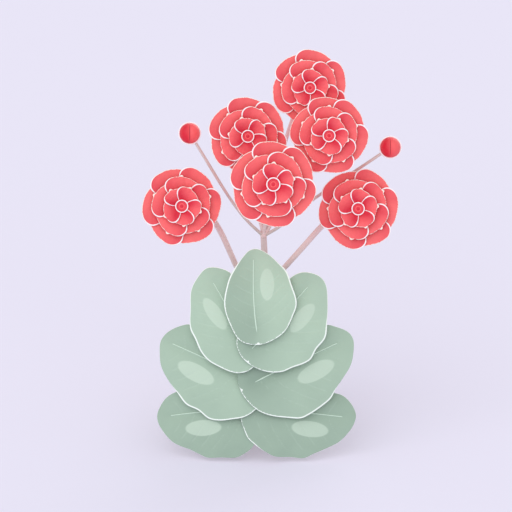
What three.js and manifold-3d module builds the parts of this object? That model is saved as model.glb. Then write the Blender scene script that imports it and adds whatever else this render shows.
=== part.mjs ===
// A potted begonia: six double blooms and two round buds on pink stems, above thick grey-green
// leaves that hang over a plain clay pot. Millimetres, +Z up, the front faces -Y.
// The origin is the middle of the pot's base.
//
// Leaves and blooms are laid out as they are seen from the front, 20 degrees above level. A place
// is given there as [across, up, toward]: to the right, up the view, and towards the viewer.
import * as THREE from "three";
import { mergeVertices } from "three/addons/utils/BufferGeometryUtils.js";
import Module from "manifold-3d";

const wasm = await Module();
wasm.setup();

// ---- Driving dimensions -------------------------------------------------------------------------

const FACE_ELEVATION = 20;
const GAP = 0.3;
// Corners nearer than this are one corner.
const WELD = 1e-4;

const POT = {
  height: 76,
  footRadius: 34,
  neckRadius: 44,
  collarRadius: 47,
  rimRadius: 48,
  collarBottom: 56,
  wall: 4,
  floor: 5,
  lip: 1,
};
const SOIL = { edgeTop: 67, crownTop: 70 };
// The holes in the soil, and how high a stalk or stem stays upright in its hole.
const HOLE = { bottom: 55, top: 75, radius: 2.9, upright: [66, 76] };

const STALK = { radius: 2, behindBlade: 3 };
// Stem radii. A neck is the straight end of a stem behind its bloom.
const STEM = { trunk: 2.2, side: 2, branch: 1.5, thin: 1.2, knot: 2.5, neck: 8 };

// A blade swells towards the viewer by its dome, and its margin waves. The stalk joins it at
// stalkAt, as a share of its length.
const BLADE = { thickness: 1.2, dome: 3, wave: 0.8, waves: 5, stalkAt: 0.12 };
// How finely a blade is split: spokes round its heart, and rings out to its margin.
const FRONT_SPLIT = { spokes: 24, rings: [0.55, 0.85, 1] };
const OTHER_SPLIT = { spokes: 17, rings: [0.65, 1] };
const MARGIN_POINTS = 96;
// How finely a round piece is split: sides round it, and steps along it where it has them.
const SPLIT = {
  pot: 36,
  soil: 30,
  hole: 6,
  stalk: [5, 6],
  sideStem: [7, 24],
  trunk: [7, 11],
  branch: [6, 12],
  budStem: [5, 7],
  knot: [8, 6],
  core: 8,
  bud: [12, 8],
  budRim: [4, 18],
};

// A bloom's parts, for a bloom of 30 mm reach. Heights are along its axis, from its middle plane.
const BLOOM = {
  reach: 30,
  petalThickness: 0.8,
  tuck: 25,
  swirl: 14,
  swirlMiddle: 0.68,
  core: [
    [0, -11],
    [2.2, -11],
    [2.8, -7.5],
    [5.3, -2.5],
    [4.9, 9.5],
    [4.1, 9.8],
    [3.3, 8.7],
    [1.6, 8.6],
    [0, 9.1],
  ],
  columns: [0, 0.45, 0.85, 1],
  // A rim of flats cuts inside its curve, so its corners stand out by this factor.
  cornersOut: 1.03,
  rows: [0, 0.5, 1],
  rootClimb: 0.45,
  climbGrowth: 1.2,
};
// A petal reaches furthest at fullAt of the way to its free edge. It falls short by these shares
// at its tucked edge and at its free corner.
const PETAL = { fullAt: 0.84, tuckedShort: 0.14, tuckedPower: 1.2, cornerShort: 0.2 };
const WHORLS = [
  { key: "inner", reach: 0.49, root: 3.5, rootHeight: 6.2, tipHeight: 10.5, rise: 2.2 },
  { key: "middle", reach: 0.755, root: 4, rootHeight: 3, tipHeight: 7, rise: 2.4 },
  { key: "outer", reach: 1, root: 4.5, rootHeight: -0.5, tipHeight: 3, rise: 2.6 },
];

const BUD = { radius: 8.6, depth: 6, rimWidth: 1.1, seam: 0.7, seamWidth: 1.5 };

const LOOKS = {
  clay: { color: 0xc9a79b, roughness: 0.8 },
  soil: { color: 0x4a3a30, roughness: 0.95 },
  stem: { color: 0xcdaeb0, roughness: 0.6 },
  leaf: { color: 0xaec5b7, roughness: 0.6 },
  petal: { color: 0xee5f68, roughness: 0.5 },
  bud: { color: 0xe04a56, roughness: 0.4 },
};

// Blooms: the middle of each, its reach, where it faces, and the angle in degrees of the free
// edge of each petal, whorl by whorl, anticlockwise from the right as the viewer sees it.
const BLOOMS = {
  left: {
    at: [-57.3, 167.8, 85],
    reach: 30.7,
    face: [1, 20],
    inner: [110, 28, -37, -104, -188],
    middle: [135, 61, -4, -76, -152],
    outer: [154, 95, 34, -23, -87, -143],
  },
  upper_left: {
    at: [-8, 220.8, 104],
    reach: 30.3,
    face: [2.6, 15.3],
    inner: [150, 79, 11, -59, -134],
    middle: [106, 35, -38, -109, -175],
    outer: [129, 75, 9, -52, -116, -173],
  },
  centre: {
    at: [11.2, 184.3, 123],
    reach: 33.3,
    face: [1.5, 18],
    inner: [131, 58, -2, -80, -144],
    middle: [104, 18, -45, -124, -192],
    outer: [127, 74, 10, -51, -111, -170],
  },
  upper_right: {
    at: [53.2, 220.9, 106],
    reach: 30.2,
    face: [0, 17.3],
    inner: [99, 32, -35, -118, -181],
    middle: [131, 66, -8, -81, -154],
    outer: [132, 82, 22, -40, -93, -160],
  },
  top: {
    at: [38.4, 256.9, 94],
    reach: 29.4,
    face: [3.5, 17],
    inner: [126, 51, -19, -91, -159],
    middle: [148, 82, 8, -62, -135],
    outer: [168, 118, 56, -5, -66, -128],
  },
  right: {
    at: [75.4, 165.9, 85],
    reach: 31.2,
    face: [-2, 20],
    inner: [122, 56, -15, -91, -158],
    middle: [161, 78, 14, -62, -132],
    outer: [172, 98, 41, -24, -74, -141],
  },
};

const BUDS = { left: [-51.2, 222.5, 88], right: [99.3, 212, 84] };

// Front leaves, from the top one down. The outline is [across, up]; base is where the stalk joins
// the blade, and the blade is toward there, leaning away from it by lean for each millimetre.
const FRONT_LEAVES = {
  leaf_top: {
    outline: [
      [-0.8, 136], [7.9, 131.9], [14.6, 126], [21.4, 119.2], [24.8, 110.2], [29.1, 95.2],
      [26.2, 85.5], [19.9, 73.8], [9, 66.3], [-0.8, 63.8], [-13.1, 66.8], [-20.6, 78.3],
      [-25.4, 93.7], [-23.4, 108], [-20.2, 117], [-11.2, 130.1], [-6.4, 134.9],
    ],
    base: [-1, 82],
    toward: 93,
    lean: [0, -0.12],
    phase: 0.4,
    crest: [-0.5, -44, 103],
    root: [0, -24],
  },
  leaf_upper_left: {
    outline: [
      [-21.4, 118.5], [-32.6, 122.2], [-39.4, 121.1], [-45.8, 114], [-50.2, 105], [-50.8, 90],
      [-50.9, 76.1], [-47.2, 68.2], [-42.8, 58.5], [-36.8, 51.7], [-28.1, 46.8], [-20.2, 43.5],
      [-13.5, 42.7], [-6.8, 44.6], [-0.4, 51], [1.1, 60.7], [-2.2, 71.2], [-7.9, 84], [-12, 99],
      [-16.5, 111],
    ],
    base: [-9.5, 69],
    toward: 86,
    lean: [0.15, -0.05],
    phase: 1.1,
    crest: [-8, -45, 93],
    root: [-7.5, -31],
  },
  leaf_upper_right: {
    outline: [
      [-16.1, 66.7], [-13.9, 57.7], [-9, 51.3], [-2.2, 46.8], [4.5, 44.2], [11.2, 43.1],
      [18.8, 43.8], [25.9, 46.8], [33.8, 49.5], [39.4, 52.8], [43.9, 60.7], [50.6, 69.3],
      [52, 82.5], [52.5, 95.2], [50.9, 109.5], [46.1, 115.5], [35.2, 118.6], [28.5, 117],
      [21.8, 111.7], [13.5, 97.5], [5.2, 82.5], [-4.5, 76.8], [-12.4, 74.2],
    ],
    base: [8, 69],
    toward: 88,
    lean: [-0.15, -0.05],
    phase: 2.3,
    crest: [8, -45, 93],
    root: [8, -31],
  },
  leaf_middle_left: {
    outline: [
      [-52.1, 79.2], [-57.4, 78.3], [-64.1, 75.7], [-69.8, 71.6], [-73.3, 66], [-73.9, 57.7],
      [-72.9, 48], [-68.2, 38.2], [-61.1, 28.4], [-54, 19.1], [-45, 14.6], [-36.8, 8.2],
      [-28.1, 6.9], [-18.8, 8], [-11.2, 9.3], [-3.8, 13.4], [2.6, 20.9], [3.8, 31.4],
      [-1.5, 42.7], [-11.2, 52.5], [-27, 66], [-40.5, 75.3],
    ],
    base: [-14, 42],
    toward: 78,
    lean: [0.15, 0],
    phase: 0.2,
    crest: [-15.5, -43, 85],
    root: [-15.5, -29],
  },
  leaf_middle_right: {
    outline: [
      [52.5, 78.8], [58.5, 77.4], [64.5, 75.3], [69, 72.3], [71.7, 67.5], [71.9, 59.2],
      [69.8, 48.7], [63.8, 38.6], [58.5, 30.7], [54.8, 23.6], [48.8, 18.3], [38.2, 11.2],
      [32.2, 8.6], [23.2, 8.9], [9, 10.8], [0, 14.6], [-7.9, 21.7], [-12.8, 29.2], [-15.3, 39.7],
      [-12.8, 48], [-1.5, 54.7], [18, 64.5], [35.2, 74.2],
    ],
    base: [13.5, 42],
    toward: 80,
    lean: [-0.15, 0],
    phase: 1.7,
    crest: [15.5, -43, 85],
    root: [16, -29],
  },
  leaf_lower_left: {
    outline: [
      [-62.2, 28.1], [-68.6, 24.3], [-73.1, 18.3], [-75.8, 11.2], [-75, 4.8], [-70.5, -2.7],
      [-64.5, -9.1], [-58.5, -12.4], [-51, -15.1], [-43.5, -18.8], [-37.9, -21.1], [-27.8, -21],
      [-16.9, -21.1], [-11.2, -18.7], [-3.8, -12.8], [-1, -5], [-1.5, 6], [-6, 16],
      [-13.5, 23.9], [-32.2, 29.2], [-48.8, 31.1],
    ],
    base: [-22, 16],
    toward: 70,
    lean: [0.15, 0.04],
    phase: 2.9,
    crest: [-23.5, -43.5, 83],
    root: [-23.5, -24],
  },
  leaf_lower_right: {
    outline: [
      [57.9, 27.5], [64.1, 25.4], [70.1, 19.4], [73.7, 11.2], [72, 3.7], [67.1, -3.4],
      [60.8, -9.4], [51, -14.3], [42, -18.1], [34.1, -21.5], [24.8, -20.7], [12.8, -20.2],
      [6, -16.9], [-2.2, -11.3], [-7.5, -6.4], [-10.9, 1.4], [-12.9, 9.7], [-9, 16.4],
      [3, 22.4], [20.2, 26.9], [40.5, 29.2],
    ],
    base: [21, 16],
    toward: 71.5,
    lean: [-0.15, 0.04],
    phase: 0.9,
    crest: [23.5, -43.5, 83],
    root: [24, -24],
  },
};

// The other leaves share one lopsided outline, on a blade of length 1 from stalk to tip.
const BLADE_OUTLINE = [
  [-0.02, 0.02], [-0.06, 0.2], [0.06, 0.37], [0.28, 0.47], [0.5, 0.48], [0.72, 0.41],
  [0.88, 0.25], [1, 0.05], [0.96, -0.14], [0.8, -0.34], [0.58, -0.43], [0.36, -0.45],
  [0.14, -0.36], [0, -0.2],
];
// Each is laid out like the front ones, in the view that its group turns to.
const BACK_LEAVES = {
  leaf_back_top: { base: [0, 56], bearing: 88, length: 52, width: 46, toward: 88, lean: [0, -0.2],
    phase: 0.5, crest: [0, -46, 96], root: [0, -26] },
  leaf_back_upper_left: { base: [-11, 50], bearing: 138, length: 48, width: 46, toward: 79,
    lean: [0.12, -0.1], phase: 1.5, crest: [-11, -46, 90], root: [-11, -30] },
  leaf_back_upper_right: { base: [11, 50], bearing: 42, length: 48, width: -46, toward: 77,
    lean: [-0.12, -0.1], phase: 2.5, crest: [11, -46, 90], root: [11, -30] },
  leaf_back_lower_left: { base: [-14, 28], bearing: 207, length: 46, width: 44, toward: 71,
    lean: [0.12, 0.05], phase: 0.1, crest: [-20, -43.5, 83], root: [-21, -26] },
  leaf_back_lower_right: { base: [14, 28], bearing: -27, length: 46, width: -44, toward: 71,
    lean: [-0.12, 0.05], phase: 0.7, crest: [20, -43.5, 83], root: [21, -26] },
};
const SIDE_LEAVES = {
  left: { base: [-13, 44], bearing: 252, length: 46, width: 40, toward: 75.5, lean: [0, 0.38],
    phase: 1.3, crest: [-10, -46.5, 82], root: [-9, -33] },
  right: { base: [13, 42], bearing: -62, length: 42, width: -38, toward: 71.5, lean: [0, 0.38],
    phase: 2.1, crest: [10, -46.5, 82], root: [9, -33] },
};

// Four small leaves arch out over the soil from the middle.
const INNER_LEAF = { base: [0, 87.2], bearing: -90, length: 24, width: 27, toward: 53,
  lean: [0, -1], crest: [0, -18.5, 90], root: [0, -20] };
const INNER_LEAVES = {
  leaf_inner_right: { azimuth: 92, phase: 0.3 },
  leaf_inner_left: { azimuth: -92, phase: 1.9 },
  leaf_inner_back_right: { azimuth: 148, phase: 2.6 },
  leaf_inner_back_left: { azimuth: -148, phase: 1.2 },
};

// Flower stems: a straight foot in the soil, a lift out of the pot, then places in the front view.
const FLOWER_STEMS = {
  left: {
    foot: [-8, 2],
    lift: [[-8.5, 0, 95]],
    way: [
      [-13.3, 116.5, 42],
      [-16.7, 123.7, 44.5],
      [-30, 152, 52],
      [-37.5, 161.5, 56],
      [-47.5, 167.3, 60],
      [-54.3, 168.2, 63.2],
    ],
  },
  right: {
    foot: [11, 2],
    lift: [[11.5, 0, 95]],
    way: [
      [14.3, 115.5, 42],
      [20.3, 122.2, 44],
      [33.8, 137.2, 48],
      [47.3, 152.2, 52.5],
      [57, 161, 56.5],
      [67, 165.6, 60.5],
      [72.8, 166.3, 63.3],
    ],
  },
  centre: {
    foot: [2, 9],
    lift: [[3.5, 7, 100]],
    way: [[5.2, 124, 46], [4.8, 134.5, 50.8]],
  },
};
const FORK = [4.2, 145.5, 58.5];
// Branches from the fork, each to its bloom, and thin stems to the buds.
const BRANCHES = {
  upper_left: [[2.6, 153.3, 59], [0, 162, 60], [-4.5, 183.7, 63], [-6.8, 208, 70], [-8.2, 219.5, 77.5]],
  centre: [[5.2, 153.3, 62.5], [8.6, 166, 76], [11, 179, 90.5]],
  upper_right: [[9, 153.3, 60], [13, 163, 61], [22, 186, 66], [40, 209, 72], [49.5, 218.5, 78.5]],
  top: [
    [7, 153.3, 57.5],
    [9.5, 165, 58],
    [15, 195, 58.5],
    [21.5, 220, 59],
    [29, 241, 61],
    [34.2, 252, 64.5],
    [36.8, 257, 69.5],
  ],
};
const BUD_STEMS = {
  left: [[-7.7, 156.6, 66], [-19.3, 171.2, 71]],
  right: [[16.5, 152.9, 65], [36.1, 169.1, 70]],
};

// ---- Frames and curves --------------------------------------------------------------------------

const rad = THREE.MathUtils.degToRad;

// Across, up and towards the viewer, for a piece that faces along azimuth and elevation.
function axesOf(azimuth, elevation) {
  const [a, e] = [rad(azimuth), rad(elevation)];
  return {
    across: new THREE.Vector3(Math.cos(a), Math.sin(a), 0),
    up: new THREE.Vector3(-Math.sin(a) * Math.sin(e), Math.cos(a) * Math.sin(e), Math.cos(e)),
    toward: new THREE.Vector3(Math.sin(a) * Math.cos(e), -Math.cos(a) * Math.cos(e), Math.sin(e)),
  };
}

const FRONT = axesOf(0, FACE_ELEVATION);

// The point at [across, up, toward] of the front view.
function seen([across, up, toward]) {
  return new THREE.Vector3()
    .addScaledVector(FRONT.across, across)
    .addScaledVector(FRONT.up, up)
    .addScaledVector(FRONT.toward, toward);
}

function at([x, y, z]) {
  return new THREE.Vector3(x, y, z);
}

// Evenly spaced points on the closed curve through an outline, anticlockwise.
function closedCurve(outline, count) {
  const area = THREE.ShapeUtils.area(outline.map(([x, y]) => new THREE.Vector2(x, y)));
  const ordered = area > 0 ? outline : [...outline].reverse();
  const curve = new THREE.CatmullRomCurve3(ordered.map(([x, y]) => at([x, y, 0])), true);
  return curve.getSpacedPoints(count).slice(0, count);
}

// ---- Solids -------------------------------------------------------------------------------------

function toSolid(geometry) {
  const plain = geometry.clone();
  plain.deleteAttribute("normal");
  plain.deleteAttribute("uv");
  const merged = mergeVertices(plain, WELD);
  const vertProperties = new Float32Array(merged.attributes.position.array);
  const triVerts = new Uint32Array(merged.index.array);
  return new wasm.Manifold(new wasm.Mesh({ numProp: 3, vertProperties, triVerts }));
}

function toGeometry(solid) {
  const { vertProperties, triVerts } = solid.getMesh();
  const geometry = new THREE.BufferGeometry();
  geometry.setAttribute("position", new THREE.BufferAttribute(vertProperties, 3));
  geometry.setIndex(new THREE.BufferAttribute(triVerts, 1));
  return geometry;
}

function join(geometries) {
  const solids = geometries.map(toSolid);
  return toGeometry(solids.slice(1).reduce((whole, next) => whole.add(next), solids[0]));
}

// A closed sheet: rows of points on its face, the same rows on its back, and walls round the
// outside. Both sides are split alike. Where closed, each row runs round and the first is a point.
function sheet(face, back, closed) {
  const rows = face.length;
  const columns = face[rows - 1].length;
  const positions = [...face.flat(), ...back.flat()].flatMap((p) => p.toArray());
  const faceIndex = (r, c) => (closed ? (r === 0 ? 0 : 1 + (r - 1) * columns + (c % columns))
    : r * columns + c);
  const count = face.flat().length;
  const index = [];
  const quad = (a, b, c, d) => {
    index.push(a, b, c, a, c, d);
    index.push(count + a, count + c, count + b, count + a, count + d, count + c);
  };
  const lastColumn = closed ? columns : columns - 1;
  for (let r = 0; r < rows - 1; r++) {
    for (let c = 0; c < lastColumn; c++) {
      const [a, b] = [faceIndex(r, c), faceIndex(r + 1, c)];
      const [d, e] = [faceIndex(r, c + 1), faceIndex(r + 1, c + 1)];
      if (closed && r === 0) {
        index.push(a, b, e, count + a, count + e, count + b);
      } else {
        quad(a, b, e, d);
      }
    }
  }
  const rim = [];
  for (let c = 0; c < lastColumn; c++) rim.push(faceIndex(rows - 1, c));
  if (!closed) {
    for (let r = rows - 1; r > 0; r--) rim.push(faceIndex(r, columns - 1));
    for (let c = columns - 1; c > 0; c--) rim.push(faceIndex(0, c));
    for (let r = 0; r < rows - 1; r++) rim.push(faceIndex(r, 0));
  }
  rim.forEach((a, i) => {
    const b = rim[(i + 1) % rim.length];
    index.push(a, count + a, count + b, a, count + b, b);
  });
  const geometry = new THREE.BufferGeometry();
  geometry.setAttribute("position", new THREE.Float32BufferAttribute(positions, 3));
  geometry.setIndex(index);
  return geometry;
}

function tube(points, radius, [sides, steps]) {
  const corners = Array.from({ length: sides }, (_, i) => {
    const angle = (2 * Math.PI * i) / sides;
    return new THREE.Vector2(radius * Math.cos(angle), radius * Math.sin(angle));
  });
  const extrudePath = new THREE.CatmullRomCurve3(points);
  return new THREE.ExtrudeGeometry(new THREE.Shape(corners), { steps, extrudePath });
}

function lathe(profile, sides) {
  const geometry = new THREE.LatheGeometry(profile.map(([r, z]) => new THREE.Vector2(r, z)), sides);
  return geometry.rotateX(Math.PI / 2);
}

// ---- Pot and soil -------------------------------------------------------------------------------

function innerRadius(z) {
  const share = (z - POT.floor) / (POT.height - POT.floor);
  return THREE.MathUtils.lerp(POT.footRadius - POT.wall, POT.rimRadius - POT.wall, share);
}

function potGeometry() {
  return lathe(
    [
      [0, 0],
      [POT.footRadius, 0],
      [POT.neckRadius, POT.collarBottom],
      [POT.collarRadius, POT.collarBottom],
      [POT.rimRadius, POT.height - POT.lip],
      [POT.rimRadius - POT.lip, POT.height],
      [innerRadius(POT.height), POT.height],
      [innerRadius(POT.floor), POT.floor],
      [0, POT.floor],
    ],
    SPLIT.pot,
  );
}

// The soil fills the pot, with a plain upright hole for every stalk and stem.
function soilGeometry(feet) {
  const bottom = POT.floor + GAP;
  const body = lathe(
    [
      [0, bottom],
      [innerRadius(bottom) - GAP, bottom],
      [innerRadius(SOIL.edgeTop) - GAP, SOIL.edgeTop],
      [0, SOIL.crownTop],
    ],
    SPLIT.soil,
  );
  const depth = HOLE.top - HOLE.bottom;
  const holes = feet.map(([x, y]) =>
    toSolid(
      new THREE.CylinderGeometry(HOLE.radius, HOLE.radius, depth, SPLIT.hole)
        .rotateX(Math.PI / 2)
        .translate(x, y, HOLE.bottom + depth / 2),
    ),
  );
  return toGeometry(holes.reduce((soil, hole) => soil.subtract(hole), toSolid(body)));
}

// The straight foot of a stalk or stem, from the bottom of its hole to above the soil.
function footPoints([x, y]) {
  return [HOLE.bottom + GAP, ...HOLE.upright].map((z) => at([x, y, z]));
}

// ---- Leaves -------------------------------------------------------------------------------------

// How far towards the viewer a blade's middle lies at [across, up]; reach is 0 at its heart and 1
// at its margin, and angle goes round the heart.
function bladeToward(leaf, across, up, reach, angle) {
  const lean = leaf.lean[0] * (across - leaf.base[0]) + leaf.lean[1] * (up - leaf.base[1]);
  const dome = BLADE.dome * (1 - reach * reach);
  const wave = BLADE.wave * reach ** 3 * Math.sin(BLADE.waves * angle + leaf.phase);
  return leaf.toward + lean + dome + wave;
}

function bladeGeometry(leaf) {
  const margin = closedCurve(leaf.outline, leaf.split.spokes);
  const heart = margin.reduce((sum, p) => sum.add(p), at([0, 0, 0])).divideScalar(margin.length);
  const side = (offset) => {
    const point = (p, reach) => {
      const [across, up] = [
        THREE.MathUtils.lerp(heart.x, p.x, reach),
        THREE.MathUtils.lerp(heart.y, p.y, reach),
      ];
      const angle = Math.atan2(p.y - heart.y, p.x - heart.x);
      return seen([across, up, bladeToward(leaf, across, up, reach, angle) + offset]);
    };
    return [[point(heart, 0)], ...leaf.split.rings.map((reach) => margin.map((p) => point(p, reach)))];
  };
  return sheet(side(BLADE.thickness / 2), side(-BLADE.thickness / 2), true);
}

// The reach of a point of the blade, as a share of the way from its heart to its margin.
function reachOf(leaf, [across, up]) {
  const margin = closedCurve(leaf.outline, MARGIN_POINTS);
  const heart = margin.reduce((sum, p) => sum.add(p), at([0, 0, 0])).divideScalar(margin.length);
  const way = at([across, up, 0]).sub(heart);
  const angle = Math.atan2(way.y, way.x);
  const off = (p) => {
    const turn = Math.atan2(p.y - heart.y, p.x - heart.x) - angle;
    return Math.abs(Math.atan2(Math.sin(turn), Math.cos(turn)));
  };
  const edge = margin.reduce((best, p) => (off(p) < off(best) ? p : best));
  return { reach: way.length() / edge.distanceTo(heart), angle };
}

// The stalk leaves the blade's back, goes over the pot's rim and down into the soil.
function stalkGeometry(leaf) {
  const { reach, angle } = reachOf(leaf, leaf.base);
  const toward = bladeToward(leaf, ...leaf.base, reach, angle);
  const points = [
    seen([...leaf.base, toward]),
    seen([...leaf.base, toward - STALK.behindBlade]),
    at(leaf.crest),
    ...footPoints(leaf.root).reverse(),
  ];
  return tube(points, STALK.radius, SPLIT.stalk);
}

function leafGeometry(leaf) {
  return join([bladeGeometry(leaf), stalkGeometry(leaf)]);
}

// A leaf of the shared outline, laid from its base along its bearing.
function withOutline(leaf) {
  const [c, s] = [Math.cos(rad(leaf.bearing)), Math.sin(rad(leaf.bearing))];
  const outline = BLADE_OUTLINE.map(([along, aside]) => [
    leaf.base[0] + (along - BLADE.stalkAt) * leaf.length * c - aside * leaf.width * s,
    leaf.base[1] + (along - BLADE.stalkAt) * leaf.length * s + aside * leaf.width * c,
  ]);
  return { ...leaf, outline, split: OTHER_SPLIT };
}

// ---- Blooms and buds ----------------------------------------------------------------------------

// How far out a petal's edge reaches, as a share: fullest near its free edge, rounded off there.
function petalReach(share) {
  if (share < PETAL.fullAt) {
    return 1 - PETAL.tuckedShort * (1 - share / PETAL.fullAt) ** PETAL.tuckedPower;
  }
  return 1 - PETAL.cornerShort * ((share - PETAL.fullAt) / (1 - PETAL.fullAt)) ** 2;
}

// One petal from its tucked edge to its free edge. It climbs towards the free edge, so that it
// lies over the next petal, and arches up and out from the core.
function petalGeometry(whorl, tucked, free) {
  const full = BLOOM.reach * whorl.reach;
  const side = (offset) =>
    BLOOM.rows.map((row) =>
      BLOOM.columns.map((share) => {
        const rim = full * petalReach(share) * BLOOM.cornersOut;
        const radius = THREE.MathUtils.lerp(whorl.root, rim, row);
        const out = (radius - whorl.root) / (full - whorl.root);
        const turn = BLOOM.swirl * (BLOOM.swirlMiddle - out);
        const angle = rad(THREE.MathUtils.lerp(tucked, free, share) + turn);
        const arch = Math.sin((out * Math.PI) / 2) * (whorl.tipHeight - whorl.rootHeight);
        const climb = whorl.rise * share * Math.min(1, BLOOM.rootClimb + BLOOM.climbGrowth * out);
        const height = whorl.rootHeight + arch + climb + offset;
        return at([radius * Math.cos(angle), radius * Math.sin(angle), height]);
      }),
    );
  return sheet(side(BLOOM.petalThickness / 2), side(-BLOOM.petalThickness / 2), false);
}

function bloomGeometry(bloom) {
  const petals = WHORLS.flatMap((whorl) => {
    const edges = bloom[whorl.key];
    return edges.map((free, i) => {
      const next = i + 1 < edges.length ? edges[i + 1] : edges[0] - 360;
      return petalGeometry(whorl, next - BLOOM.tuck, free);
    });
  });
  const scale = bloom.reach / BLOOM.reach;
  return join([lathe(BLOOM.core, SPLIT.core), ...petals]).scale(scale, scale, scale);
}

// A closed bud: two round tepals, shut face to face. Their pale edge stands up as a rim, and a
// seam runs down the middle.
function budGeometry() {
  const sphere = new THREE.SphereGeometry(1, ...SPLIT.bud).rotateX(Math.PI / 2);
  const position = sphere.attributes.position;
  for (let i = 0; i < position.count; i++) {
    const p = new THREE.Vector3().fromBufferAttribute(position, i);
    const round = Math.hypot(p.x, p.y);
    const x = p.x * BUD.radius;
    const seam = BUD.seam * Math.exp(-((x / BUD.seamWidth) ** 2)) * (1 - round);
    const depth = Math.sign(p.z) * Math.max(0, Math.abs(p.z) * BUD.depth - seam);
    position.setXYZ(i, x, p.y * BUD.radius, depth);
  }
  const half = BUD.rimWidth / 2;
  const rim = new THREE.TorusGeometry(BUD.radius - half, half, ...SPLIT.budRim);
  return join([sphere, rim]);
}

// ---- Flower stems -------------------------------------------------------------------------------

// The last two places of a stem behind a bloom: on its axis, up to its core.
function bloomEnd(bloom) {
  const { toward } = axesOf(...bloom.face);
  const back = (BLOOM.core[0][1] * bloom.reach) / BLOOM.reach;
  return [back - STEM.neck, back - GAP].map((h) => seen(bloom.at).addScaledVector(toward, h));
}

// The end of a thin stem, just short of its bud.
function budEnd(centre, before) {
  const way = seen(before).sub(seen(centre)).normalize();
  return seen(centre).addScaledVector(way, BUD.radius + GAP);
}

function trunkPoints(stem) {
  return [...footPoints(stem.foot), ...stem.lift.map(at), ...stem.way.map(seen)];
}

function sideStemGeometry(name) {
  const points = [...trunkPoints(FLOWER_STEMS[name]), ...bloomEnd(BLOOMS[name])];
  return tube(points, STEM.side, SPLIT.sideStem);
}

function centreStemGeometry() {
  const fork = seen(FORK);
  const trunk = tube([...trunkPoints(FLOWER_STEMS.centre), fork], STEM.trunk, SPLIT.trunk);
  const knot = new THREE.SphereGeometry(STEM.knot, ...SPLIT.knot).translate(...fork.toArray());
  const branches = Object.entries(BRANCHES).map(([name, way]) =>
    tube([fork, ...way.map(seen), ...bloomEnd(BLOOMS[name])], STEM.branch, SPLIT.branch),
  );
  const budStems = Object.entries(BUD_STEMS).map(([name, way]) => {
    const end = budEnd(BUDS[name], way[way.length - 1]);
    return tube([fork, ...way.map(seen), end], STEM.thin, SPLIT.budStem);
  });
  return join([trunk, knot, ...branches, ...budStems]);
}

// ---- The plant ----------------------------------------------------------------------------------

function mesh(name, geometry, look) {
  const piece = new THREE.Mesh(geometry, new THREE.MeshStandardMaterial(LOOKS[look]));
  piece.name = name;
  return piece;
}

// A group of leaves, turned about the pot's axis to the side that they hang on.
function leafGroup(leaves, azimuth) {
  const group = new THREE.Group();
  for (const [name, leaf] of Object.entries(leaves)) {
    group.add(mesh(name, leafGeometry(leaf), "leaf"));
  }
  group.rotation.z = rad(azimuth);
  return group;
}

function turnedFoot([x, y], azimuth) {
  const [c, s] = [Math.cos(rad(azimuth)), Math.sin(rad(azimuth))];
  return [x * c - y * s, x * s + y * c];
}

function shared(leaves) {
  return Object.fromEntries(
    Object.entries(leaves).map(([name, leaf]) => [name, withOutline(leaf)]),
  );
}

function front(leaves) {
  return Object.fromEntries(
    Object.entries(leaves).map(([name, leaf]) => [name, { ...leaf, split: FRONT_SPLIT }]),
  );
}

const LEAF_SIDES = [
  { azimuth: 0, leaves: front(FRONT_LEAVES) },
  { azimuth: 180, leaves: shared(BACK_LEAVES) },
  {
    azimuth: 90,
    leaves: shared({ leaf_right_front: SIDE_LEAVES.left, leaf_right_back: SIDE_LEAVES.right }),
  },
  {
    azimuth: -90,
    leaves: shared({ leaf_left_back: SIDE_LEAVES.left, leaf_left_front: SIDE_LEAVES.right }),
  },
  ...Object.entries(INNER_LEAVES).map(([name, { azimuth, phase }]) => ({
    azimuth,
    leaves: shared({ [name]: { ...INNER_LEAF, phase } }),
  })),
];

const plant = new THREE.Group();
plant.add(mesh("pot", potGeometry(), "clay"));

const feet = Object.values(FLOWER_STEMS).map((stem) => stem.foot);
for (const { azimuth, leaves } of LEAF_SIDES) {
  plant.add(leafGroup(leaves, azimuth));
  feet.push(...Object.values(leaves).map((leaf) => turnedFoot(leaf.root, azimuth)));
}
plant.add(mesh("soil", soilGeometry(feet), "soil"));

plant.add(mesh("stem_left", sideStemGeometry("left"), "stem"));
plant.add(mesh("stem_right", sideStemGeometry("right"), "stem"));
plant.add(mesh("stem_centre", centreStemGeometry(), "stem"));

for (const [name, bloom] of Object.entries(BLOOMS)) {
  const piece = mesh("bloom_" + name, bloomGeometry(bloom), "petal");
  const { across, up, toward } = axesOf(...bloom.face);
  piece.position.copy(seen(bloom.at));
  piece.quaternion.setFromRotationMatrix(new THREE.Matrix4().makeBasis(across, up, toward));
  plant.add(piece);
}
for (const [name, centre] of Object.entries(BUDS)) {
  const piece = mesh("bud_" + name, budGeometry(), "bud");
  piece.position.copy(seen(centre));
  piece.rotation.x = rad(90 - FACE_ELEVATION);
  plant.add(piece);
}

export default plant;
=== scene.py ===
# The looks of a potted begonia, round its packed solids. Lengths are in millimetres.
# A place seen from the front is [across, up, toward]: to the right, up the view, to the viewer.
import math
from types import SimpleNamespace as Sizes

import bpy
import numpy as np
from mathutils import Matrix, Vector


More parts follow.
